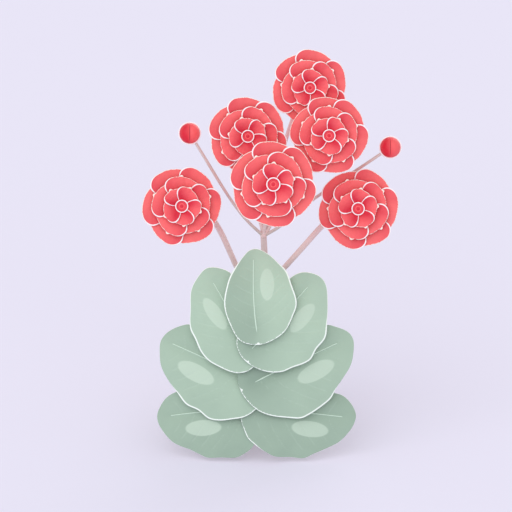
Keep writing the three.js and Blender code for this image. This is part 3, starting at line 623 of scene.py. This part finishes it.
def soil_material():
    s = Shader("soil", Specular_IOR_Level=0.15)
    clods = s.noise(s.place(), 160, 6, roughness=0.7)
    crumbs = s.cells(s.place(), 380)
    colour = s.mix(s.ramp(clods, 0.3, 0.7), "soil_dark", "soil_light")
    colour = s.mix(s.ramp(crumbs, 0.6, 0.9, 0, 0.35), colour, "soil_crumb")
    colour = s.mix(s.value("perlite"), colour, "perlite")
    height = s.plus(clods, crumbs, 0.6)
    return s.finish(colour, s.ramp(clods, 0.3, 0.7, 0.82, 0.97), height, 0.8, 0.001)


def floor_material():
    s = Shader("floor", Specular_IOR_Level=0.0, Emission_Color=linear("floor_glow"),
               Emission_Strength=0.385)
    tint = s.noise(s.place(), 1.2, 2)
    colour = s.mix(tint, "floor", "floor_light")
    return s.finish(colour, s.ramp(tint, 0.3, 0.7, 0.9, 0.95))


# The materials by their slots.
MATERIALS = {
    "petals": petal_material(), "leaves": leaf_material(), "flower_stem": stem_material(),
    "buds": bud_material(), "terracotta": clay_material(), "soil": soil_material(),
}

# Leaves

# The rings of a blade's points, as shares of the way from its heart to its margin.
RINGS = np.append(np.linspace(0.045, 0.9, 20),
                  [0.925, 0.945, 0.96, 0.972, 0.981, 0.988, 0.993, 0.997, 1])
# The pale rim, which changes its width over a strip and is broken up near its base.
RIM = Sizes(width=1.15, change=6, broken=0.8, base_reach=25, tooth=1.7, tooth_reach=1.3)
# How far along the midrib the pairs of side veins leave it.
SIDE_VEINS = (0.06, 0.2, 0.36, 0.53, 0.7, 0.85)
# An edge or spot value that is far from any rim or spot.
FAR = 9


def with_outline(leaf):
    """A leaf of the shared outline, with its midrib and its spot."""
    across, up, _ = axes_of(leaf.bearing, 90)

    def at(along, aside):
        reach = (along - BLADE.stalk_at) * leaf.length
        return [*(leaf.base + reach * across[:2] + aside * leaf.width * up[:2])]

    return Leaf(**vars(leaf), outline=[at(*p) for p in BLADE_OUTLINE], spokes=120,
                midrib=[at(0.1, 0), at(0.35, 0.03), at(0.6, 0.03), at(0.88, 0)],
                spot=[*at(0.6, -0.2), 0.21 * leaf.length, 0.1 * abs(leaf.width), leaf.bearing],
                light=-np.sign(leaf.width), tone=[0.66, 0.2, 0.25])


def blade_toward(leaf, points, reach, angle):
    """How far toward the viewer the middle of the blade's thickness is."""
    lean = (points - leaf.base) @ leaf.lean
    dome = BLADE.dome * (1 - reach ** 2)
    wave = BLADE.wave * reach ** 3 * np.sin(BLADE.waves * angle + leaf.phase)
    return leaf.toward - BLADE.set_back + lean + dome + wave


def angle_of(ways):
    return np.arctan2(ways[:, 1], ways[:, 0])


def polar_of(points, margin, heart):
    """Each point's reach, as a share of the way from the heart to the margin, and its angle."""
    rim, angle = margin - heart, angle_of(points - heart)
    order = np.argsort(angle_of(rim))
    reach = np.interp(angle, angle_of(rim)[order], size_of(rim)[order], period=2 * math.pi)
    return size_of(points - heart) / reach, angle


def side_veins(midrib):
    """Lines that leave the midrib on both sides and bend towards the tip."""
    spine = evenly(spline(midrib), 60)
    way = spine[-1] - spine[0]
    aside = np.array([-way[1], way[0]])
    t = np.linspace(0, 1, 14)[:, None]
    for share in SIDE_VEINS:
        out = 0.52 * (1.1 - 0.55 * share)
        bend = out * (0.35 * t + 0.4 * t ** 2) * way
        for side in (-1, 1):
            yield spine[int(share * 59)] + out * side * t * aside + bend


def rim_values(leaf, rim):
    """How wide the pale rim is at each of its points, and how broken up it is."""
    at_base = near(size_of(rim - leaf.midrib[0]), RIM.base_reach)
    *way, level = leaf.over
    over = 1 - smooth(rim @ way, level - RIM.change, level + RIM.change)
    width = (leaf.thin_rim + (RIM.width - leaf.thin_rim) * over) * (1 - 0.5 * at_base)
    tooth = near(size_of(rim - leaf.tooth), RIM.tooth_reach) if leaf.tooth else 0
    return width + RIM.tooth * tooth, RIM.broken * at_base * (1 - tooth)


def half_thickness(gap, thickness):
    """Half the thickness of a blade with a round edge, at a distance from the edge."""
    half = thickness / 2
    return half * np.sqrt(1 - (1 - np.clip(gap / half, 0, 1)) ** 2)


def build_leaf(node, leaf, azimuth):
    spokes = leaf.spokes
    rim = evenly(spline(leaf.outline, closed=True), spokes + 1)
    u, v = rim.T
    if (u[:-1] * v[1:] - v[:-1] * u[1:]).sum() < 0:
        rim = rim[::-1]
    margin = rim[:-1]
    heart = margin.mean(0)
    flat = (heart + RINGS[:, None, None] * (margin - heart)).reshape(-1, 2)
    flat = np.vstack([heart, flat])
    reach = np.append(0, np.repeat(RINGS, spokes))
    inside, place = to_line(flat, rim)
    width, dash = (np.interp(place, np.arange(spokes + 1), v) for v in rim_values(leaf, rim))
    midrib = evenly(spline(leaf.midrib), 40)
    rib_gap = to_line(flat, midrib)[0]

    # The blade, creased along its midrib, with a roll inside its margin and fine grooves.
    crease = BLADE.crease * near(rib_gap, BLADE.crease_reach)
    middle = blade_toward(leaf, flat, reach, angle_of(flat - heart))
    middle = middle - crease * smooth(inside, 0, BLADE.crease_starts)
    vein = np.min([to_line(flat, v)[0] for v in side_veins(leaf.midrib)], axis=0)
    vein = vein + 2 * (1 - smooth(inside, 1.5, 7))
    groove = BLADE.groove * near(vein, 0.8)
    roll = BLADE.roll * near(inside - 0.5, 0.4)
    thick = half_thickness(inside, BLADE.thickness)

    # The spot, and painted shade: one side of the midrib darker than the other as if light fell
    # across its fold, the base darker as if shaded by the leaf above, lighter towards the tip, and
    # darker in the crease on the shaded side of the midrib.
    *spot_middle, long, wide, turn = leaf.spot
    along, aside, _ = axes_of(turn, 90)[:, :2]
    d = flat - spot_middle
    spot = np.hypot(d @ along / long, d @ aside / wide)
    way = midrib[-1] - midrib[0]
    length = size_of(way)
    way, rel = way / length, flat - midrib[0]
    aside = leaf.light * rel @ [-way[1], way[0]]
    tone, contrast, root_dark = leaf.tone
    shade = tone + contrast * np.tanh(aside / 9) + 0.08 * smooth(rel @ way / length, 0.1, 1)
    shade -= root_dark * near(size_of(rel), 0.3 * length)
    shade -= 0.035 * (1 - np.tanh(aside / 1.2)) * near(rib_gap, 4)

    # The face, and then the back, whose rings run from the margin in to the heart.
    count = len(flat)
    rows = loops(len(RINGS), spokes, 1)[:-1, :-1]
    order = np.concatenate([np.arange(count), rows[::-1].ravel(), [0]])
    front = np.arange(len(order)) < count
    lift = np.where(front, (thick + roll)[order], -thick[order]) - groove[order]
    places = np.column_stack([flat, middle])[order]
    points = seen(places + lift[:, None] * [0, 0, 1])
    form = Form()
    form.add(points, capped_faces(2 * len(RINGS) - 1, spokes), edge=(inside / width)[order],
             spot=spot[order], shade=shade[order], vein=vein[order], under=~front,
             dash=dash[order], grain=places)

    # The pale midrib stands a little proud of the face.
    toward = blade_toward(leaf, midrib, *polar_of(midrib, margin, heart))
    crease = BLADE.crease * smooth(to_line(midrib, rim)[0], 0, BLADE.crease_starts)
    toward = toward + BLADE.thickness / 2 - crease + 0.02
    share = np.linspace(0, 1, len(midrib))
    radii = BLADE.midrib * (1 - 0.4 * share) * smooth(share, -0.04, 0.08)
    add_tube(form, seen(np.column_stack([midrib, toward])), np.maximum(radii, 0.06), 10,
             edge=FAR, spot=FAR, shade=0.7, vein=FAR, rib=1)

    # The stalk, from the blade's back over the pot's rim and into the soil.
    base = np.array([leaf.base])
    toward = blade_toward(leaf, base, *polar_of(base, margin, heart))[0]
    path = [*[seen([*leaf.base, toward - h]) for h in (STALK.in_blade, STALK.behind_blade)],
            leaf.crest, *[[*leaf.root, z] for z in HOLE_LEVELS[::-1]]]
    line = evenly(spline(path), 44)
    share = np.linspace(0, 1, len(line))
    swell = 0.78 + 0.2 * smooth(share, 0.1, 0.9) + 0.2 * near(share, 0.05)
    add_tube(form, line, STALK.radius * np.minimum(swell, 1), 14, edge=FAR, spot=FAR,
             shade=0.45, vein=FAR, pink=smooth(share, -0.1, 0.22))
    form.piece(node, "leaves", axes=axes_of(azimuth, 90))


for name, leaf in FRONT_LEAVES.items():
    build_leaf("leaf_" + name, leaf, 0)
for name, leaf in BACK_LEAVES.items():
    build_leaf("leaf_back_" + name, with_outline(leaf), 180)
for name, (side, azimuth) in SIDE_LEAVES.items():
    build_leaf("leaf_" + name, with_outline(SIDE_SHAPES[side]), azimuth)
for name, (azimuth, phase) in INNER_LEAVES.items():
    leaf = with_outline(Leaf(**vars(INNER_LEAF), phase=phase))
    build_leaf("leaf_inner_" + name, leaf, azimuth)

# Blooms and buds

# The rows of a petal's points, as shares of the way from its root to its outer edge.
PETAL_ROWS = [0, 0.12, 0.24, 0.36, 0.47, 0.57, 0.66, 0.74, 0.81, 0.87, 0.915, 0.945, 0.967,
              0.982, 0.991, 0.997, 1]
# The columns of points by a petal's tooth, from its middle, and the tooth itself.
TOOTH_COLUMNS = np.array([-2.3, -1.8, -1.5, -1.2, -0.9, -0.5, 0, 0.5, 0.9, 1.2, 1.5, 1.8, 2.3])
TOOTH = Sizes(reach=1.35, height=1.3, rim=1.25, clear=2.6)


def petal_reach(share, whorl):
    """How far out a petal's edge reaches, rounded off at its free corner."""
    full = PETAL.full_at
    tucked = 1 - PETAL.tucked_short * np.clip(1 - share / full, 0, 1) ** PETAL.tucked_power
    q = np.clip((share - full) / (1 - full), 0, 1)
    return tucked - whorl.corner_short * (1 - np.sqrt(1 - q ** 2))


def add_petal(form, whorl, tucked, free, number):
    """One petal, between the angles of its tucked and its free edge."""
    full = BLOOM.reach * whorl.reach
    length = math.radians(free - tucked) * full
    tooth_at = 0.56 + 0.06 * math.sin(2.4 * number + 1)
    corner = PETAL.full_at + (1 - PETAL.full_at) * np.sin(np.radians(np.linspace(0, 90, 13)))
    plain = np.append([0, 0.004, 0.012, 0.025], np.linspace(0.05, PETAL.full_at, 34)[:-1])
    plain = plain[np.abs(plain - tooth_at) > TOOTH.clear / length]
    shares = np.sort(np.concatenate([plain, tooth_at + TOOTH_COLUMNS / length, corner]))
    share, row = np.meshgrid(shares, PETAL_ROWS)
    tooth = whorl.teeth * np.exp(-np.abs((shares - tooth_at) * length / TOOTH.reach) ** 3)
    ruffle = sum(size * np.sin(waves * shares + k * number)
                 for k, size, waves in ((1, 0.008, 9), (2, 0.006, 23), (3, 0.0035, 61)))
    limit = full * (petal_reach(shares, whorl) + tooth * TOOTH.height / full - PETAL.trim
                    + ruffle * (1 - shares))
    radius = whorl.root + (limit - whorl.root) * row
    out = (radius - whorl.root) / (full - whorl.root)
    turn = BLOOM.swirl * (BLOOM.swirl_middle - out)
    angle = np.radians(tucked + (free - tucked) * share + turn)
    arch = np.sin(np.clip(out, 0, 1.05) * math.pi / 2) * (whorl.tip_height - whorl.root_height)
    climb = whorl.rise * share * np.minimum(1, BLOOM.root_climb + BLOOM.climb_growth * out)
    curl = -0.5 * smooth(out, 0.75, 1.02) - 0.4 * np.sin(math.pi * share) * out
    wave = 0.4 * np.sin(11 * angle + whorl.wave) + 0.22 * np.sin(23 * angle + 2 * whorl.wave)
    height = whorl.root_height + arch + climb + curl + wave * np.clip(out, 0, 1) ** 3
    points = polar(radius, angle)[:, :2]
    index = np.arange(len(points)).reshape(row.shape)

    # The border, from the free edge's root round the corner and back along the outer edge.
    border = points[np.append(index[:, -1], index[-1, -2::-1])]
    gap, place = to_line(points, border)
    last = len(PETAL_ROWS) - 1
    step = np.arange(len(border))
    outer = 1 - np.append(np.ones(last), shares[::-1])
    tooth = np.append(np.zeros(last), tooth[::-1])
    free_width = 0.6 + 0.45 * np.clip(step / last, 0, 1) ** 3
    outer_width = whorl.rim + (1.05 - whorl.rim) * near(outer, 0.15)
    width = np.where(step <= last, free_width, outer_width) + TOOTH.rim * tooth
    broken = whorl.broken * smooth(outer, 0.16, 0.3) * (1 - np.minimum(1, 2 * tooth))
    width, dash, cream = (np.interp(place, step, v)
                          for v in (width, broken, smooth(outer, 0.08, 0.25)))

    inside = np.minimum(gap, to_line(points, points[index[:, 0]])[0])
    thick = half_thickness(inside, BLOOM.thickness)
    roll = PETAL.roll * near(gap - 0.45, 0.4)
    share, out, radius, height = (v.ravel() for v in (share, out, radius, height))
    # Painted shade: darker inside the free edge, as if in the shade of its raised fold, and darker
    # at the root, in the hollow at the middle of the bloom, lighter outwards. The last term is a
    # tone that differs from petal to petal.
    shade = 0.68 - 0.72 * near(1 - share, 0.36) + 0.36 * smooth(out, 0.35, 1.05)
    shade = shade - 0.5 * near(out, 0.34) + 0.07 * math.sin(1.7 * number)
    grain = np.column_stack([radius * angle.ravel(), radius, np.full(len(radius), 9 * number)])

    # The back shares the points of the border with the face.
    inner = index[1:-1, 1:-1]
    behind = index.copy()
    behind[1:-1, 1:-1] = len(points) + np.arange(inner.size).reshape(inner.shape)
    order = np.append(index, inner)
    under = np.arange(len(order)) >= len(points)
    level = height[order] + np.where(under, -thick[order], (thick + roll)[order])
    form.add(np.column_stack([points[order], level]),
             grid_faces(index) + grid_faces(behind, flip=True), edge=(gap / width)[order],
             shade=shade[order], whorl=whorl.colour, under=under, dash=dash[order],
             cream=cream[order], grain=grain[order])


# The cup behind a bloom and its round eye: radii and heights, and how light and how green.
BUTTON = Sizes(
    line=[[0, BLOOM.back], [1.6, BLOOM.back], [2.2, -10.6], [2.5, -9], [2.9, -7.5], [3.9, -5],
          [5.1, -2.6], [5.1, 0], [4.95, 6], [4.85, 9.2], [4.5, 9.5], [4, 9.1], [3.3, 8.75],
          [2.6, 8.6], [1.6, 8.6], [0.9, 8.7], [0.6, 8.95], [0, 9.05]],
    shade=[0.5] * 10 + [0.3, 0.1, 0.2, 0.3, 0.45, 0.1, 0, 0],
    green=[1] * 6 + [0.8, 0.3] + [0] * 10)


def build_bloom(node, bloom):
    form = Form()
    add_turned(form, BUTTON.line, 40, edge=FAR, shade=BUTTON.shade, green=BUTTON.green)
    add_ring(form, radius=4.42, size=0.44, height=9.45, shade=1)
    add_ring(form, radius=1.8, size=0.3, height=8.66, edge=FAR, shade=1.2)
    number = 0
    for whorl, edges in zip(WHORLS, bloom.edges):
        for free, following in zip(edges, edges[1:] + [edges[0] - 360]):
            add_petal(form, whorl, following - BLOOM.tuck, free, number)
            number += 1
    scale = bloom.reach / BLOOM.reach
    form.piece(node, "petals", seen(bloom.at), scale * axes_of(*bloom.face))


def build_bud(node, centre):
    """A round bud of two tepals, shut along a seam."""
    form = Form()
    points, faces = turned(ball(40), 72)
    x, y, z = points.T
    out = np.hypot(x, y)
    body = BUD.radius - 0.85 * BUD.rim
    x = x * body
    seam = BUD.seam * near(x, BUD.seam_width) * (1 - out)
    z = np.sign(z) * np.maximum(0, np.abs(z) * BUD.depth - seam)
    points = np.column_stack([x, y * body, z])
    # Painted shade: lighter to the right and upwards, darker on the left, with a darker band left
    # of the seam.
    shade = 0.48 + 0.34 * np.tanh(x / 2.5) + 0.16 * y - 0.25 * near(x + 3.2, 2.2)
    form.add(points, faces, edge=FAR, shade=shade, seam=2 * np.abs(x) + 1.4 * out ** 4,
             grain=points)
    add_ring(form, BUD.radius - BUD.rim / 2, BUD.rim / 2, 0, seam=FAR)
    form.piece(node, "buds", seen(centre), FRONT)


for name, bloom in BLOOMS.items():
    build_bloom("bloom_" + name, bloom)
for name, centre in BUDS.items():
    build_bud("bud_" + name, centre)

# Flower stems

def bloom_end(bloom):
    """The last two places of a stem behind a bloom: on its axis, up to its cup."""
    toward = axes_of(*bloom.face)[2]
    back = BLOOM.back * bloom.reach / BLOOM.reach
    return [seen(bloom.at) + toward * h for h in (back - STEM.neck, back - 0.1)]


def trunk_points(stem):
    return [*[[*stem.foot, z] for z in HOLE_LEVELS], stem.lift, *seen(stem.way)]


def add_stem(form, points, radius, tip=1.0, foot=0.0, grey=0.0):
    """A stem that swells or narrows to its tip and is greener at its foot, or grey all along."""
    line = evenly(spline(points), 90)
    share = np.linspace(0, 1, len(line))
    radii = radius * (1 + (tip - 1) * smooth(share, 0.25, 0.5))
    radii = radii * (0.97 + 0.03 * np.cos(9 * share))
    green = np.maximum(foot * (1 - smooth(share, 0.05, 0.45)), grey)
    add_tube(form, line, radii, 20, green=green)


for name in ("left", "right"):
    form = Form()
    ends = bloom_end(BLOOMS[name])
    add_stem(form, [*trunk_points(FLOWER_STEMS[name]), *ends], STEM.side, 1.12, 0.6)
    form.piece("stem_" + name, "flower_stem")

form = Form()
fork = seen(FORK)
add_stem(form, [*trunk_points(FLOWER_STEMS["centre"]), fork], STEM.trunk, 1.14, 0.6)
knot, faces = turned(STEM.knot * ball(12), 24)
form.add(knot + fork, faces, grain=knot)
for name, way in BRANCHES.items():
    add_stem(form, [fork, *seen(way), *bloom_end(BLOOMS[name])], STEM.branch, 1.05)
for name, way in BUD_STEMS.items():
    centre = seen(BUDS[name])
    end = centre + unit(seen(way[-1]) - centre) * (BUD.radius - 0.3)
    add_stem(form, [fork, *seen(way), end], STEM.thin, grey=0.6)
form.piece("stem_centre", "flower_stem")

# Pot and soil

def inner_radius(z):
    share = (z - POT.floor) / (POT.height - POT.floor)
    return POT.foot - POT.wall + (POT.rim - POT.foot) * share


def softened(profile, radius):
    """The profile with each of its corners but the ends rounded off."""
    profile = np.array(profile, float)
    points = [profile[:1]]
    t = np.linspace(0, 1, 6)[:, None]
    for before, corner, after in zip(profile, profile[1:], profile[2:]):
        ways = before - corner, after - corner
        cut = min(radius, *(0.45 * size_of(way) for way in ways))
        a, b = (corner + unit(way) * cut for way in ways)
        points.append((1 - t) ** 2 * a + 2 * t * (1 - t) * corner + t ** 2 * b)
    return np.vstack([*points, profile[-1:]])


outline = softened([
    [0, 0], [POT.foot, 0], [POT.neck, POT.collar_bottom], [POT.collar, POT.collar_bottom],
    [POT.rim, POT.height - POT.lip], [POT.rim - POT.lip, POT.height],
    [inner_radius(POT.height), POT.height], [inner_radius(POT.floor), POT.floor],
    [0, POT.floor]], 1.2)
line = [outline[:1]]
for p, q in zip(outline, outline[1:]):
    line.append(np.linspace(p, q, max(1, int(size_of(q - p) / 2.5)) + 1)[1:])
line = np.vstack(line)
radius, height = line.T
# Darker inside the pot, and on its outside towards the bottom.
inside = (radius < inner_radius(height) + 0.8) & (height > 4)
damp = np.where(inside, 0.8, 0.7 * (1 - smooth(height, 0, 14)))
form = Form()
add_turned(form, line, 160, damp=damp)
form.piece("pot", "terracotta")

chance = np.random.default_rng(7)
soil_radius = inner_radius(SOIL.edge_top) - SOIL.gap
low = SOIL.gap + POT.floor


def soil_level(radius):
    """The height of the soil at a distance from its middle."""
    drop = (SOIL.crown_top - SOIL.edge_top) * radius / soil_radius
    return SOIL.crown_top - drop - SOIL.sunk


radii = np.linspace(soil_radius, 0, SOIL.rings + 1)
points, faces = turned([[0, low], [inner_radius(low) - SOIL.gap, low],
                        *np.column_stack([radii, soil_level(radii)])], SOIL.sides)
top = points[1 + SOIL.sides:-1]
for size in (2.2, 1.2, 0.7):
    for _ in range(7):
        kx, ky = chance.normal(0, 1.4 / size, 2)
        start = chance.uniform(0, 6.28)
        top[:, 2] += 0.12 * size * np.sin(kx * top[:, 0] + ky * top[:, 1] + start)
top[:, 2] = np.minimum(top[:, 2], SOIL.crown_top - 0.2)
form = Form()
form.add(points, faces)


def add_crumb(form, place, size, pale):
    """A small lopsided lump of soil or perlite."""
    squash = chance.uniform(0.6, 1, 3)
    rows = [[[0, 0, size]]]
    for a in np.radians([30, 65, 100, 140]):
        turn = around(8) + chance.uniform(0, 1)
        r = size * math.sin(a) * (1 + 0.25 * chance.uniform(-1, 1, 8))
        z = size * math.cos(a) * (1 + 0.2 * chance.uniform(-1, 1, 8))
        rows.append(polar(r, turn, z))
    rows.append([[0, 0, -size]])
    form.add(np.vstack(rows) * squash + place, capped_faces(4, 8), perlite=pale)


for _ in range(SOIL.crumbs):
    far = (soil_radius - 1.6) * math.sqrt(chance.uniform(0, 1))
    turn = chance.uniform(0, 2 * math.pi)
    size = chance.uniform(0.3, 1.15)
    place = polar(far, turn, min(soil_level(far), SOIL.crown_top - size))
    add_crumb(form, place, size, chance.uniform() < SOIL.perlite)
form.piece("soil", "soil")

# Floor, light and camera

bpy.ops.mesh.primitive_circle_add(vertices=96, radius=30, fill_type="NGON")
floor = bpy.context.object
floor.name = "floor"
floor.data.materials.append(floor_material())

world = bpy.data.worlds.new("studio")
world.use_nodes = True
sky = world.node_tree.nodes["Background"].inputs
sky["Color"].default_value = (0.99, 0.975, 1.0, 1)
sky["Strength"].default_value = 0.67
scene = bpy.context.scene
scene.world = world

# Soft lights: where each shines from, and its power.
LIGHTS = {
    "key": ((-0.45, -0.7, 0.75), 0.85),
    "fill": ((0.12, -1, 0.25), 0.58),
    "back": ((0.35, 1, 0.3), 1.05),
}
for name, (way, power) in LIGHTS.items():
    light = bpy.data.lights.new(name, "SUN")
    light.energy = power
    light.angle = math.radians(60)
    lamp = new_object(name, light)
    lamp.rotation_mode = "QUATERNION"
    lamp.rotation_quaternion = Vector(way).to_track_quat("Z", "Y")

# One photo pixel is 0.75 mm at the flowers and front leaves.
PIXEL, IMAGE, DISTANCE, DEPTH = 0.75, 512, 10000, 88
lens = bpy.data.cameras.new("camera")
lens.sensor_width = 36
lens.lens = lens.sensor_width * DISTANCE / (PIXEL * IMAGE)
lens.clip_start, lens.clip_end = 1, 100
camera = new_object("camera", lens)
camera_place = Vector(seen([-1.5, 130.5, DEPTH + DISTANCE]) * METRES)
camera.matrix_world = Matrix.Translation(camera_place) @ Matrix(FRONT.T.tolist()).to_4x4()
scene.camera = camera
scene.view_settings.view_transform = "Standard"
scene.view_settings.look = "None"
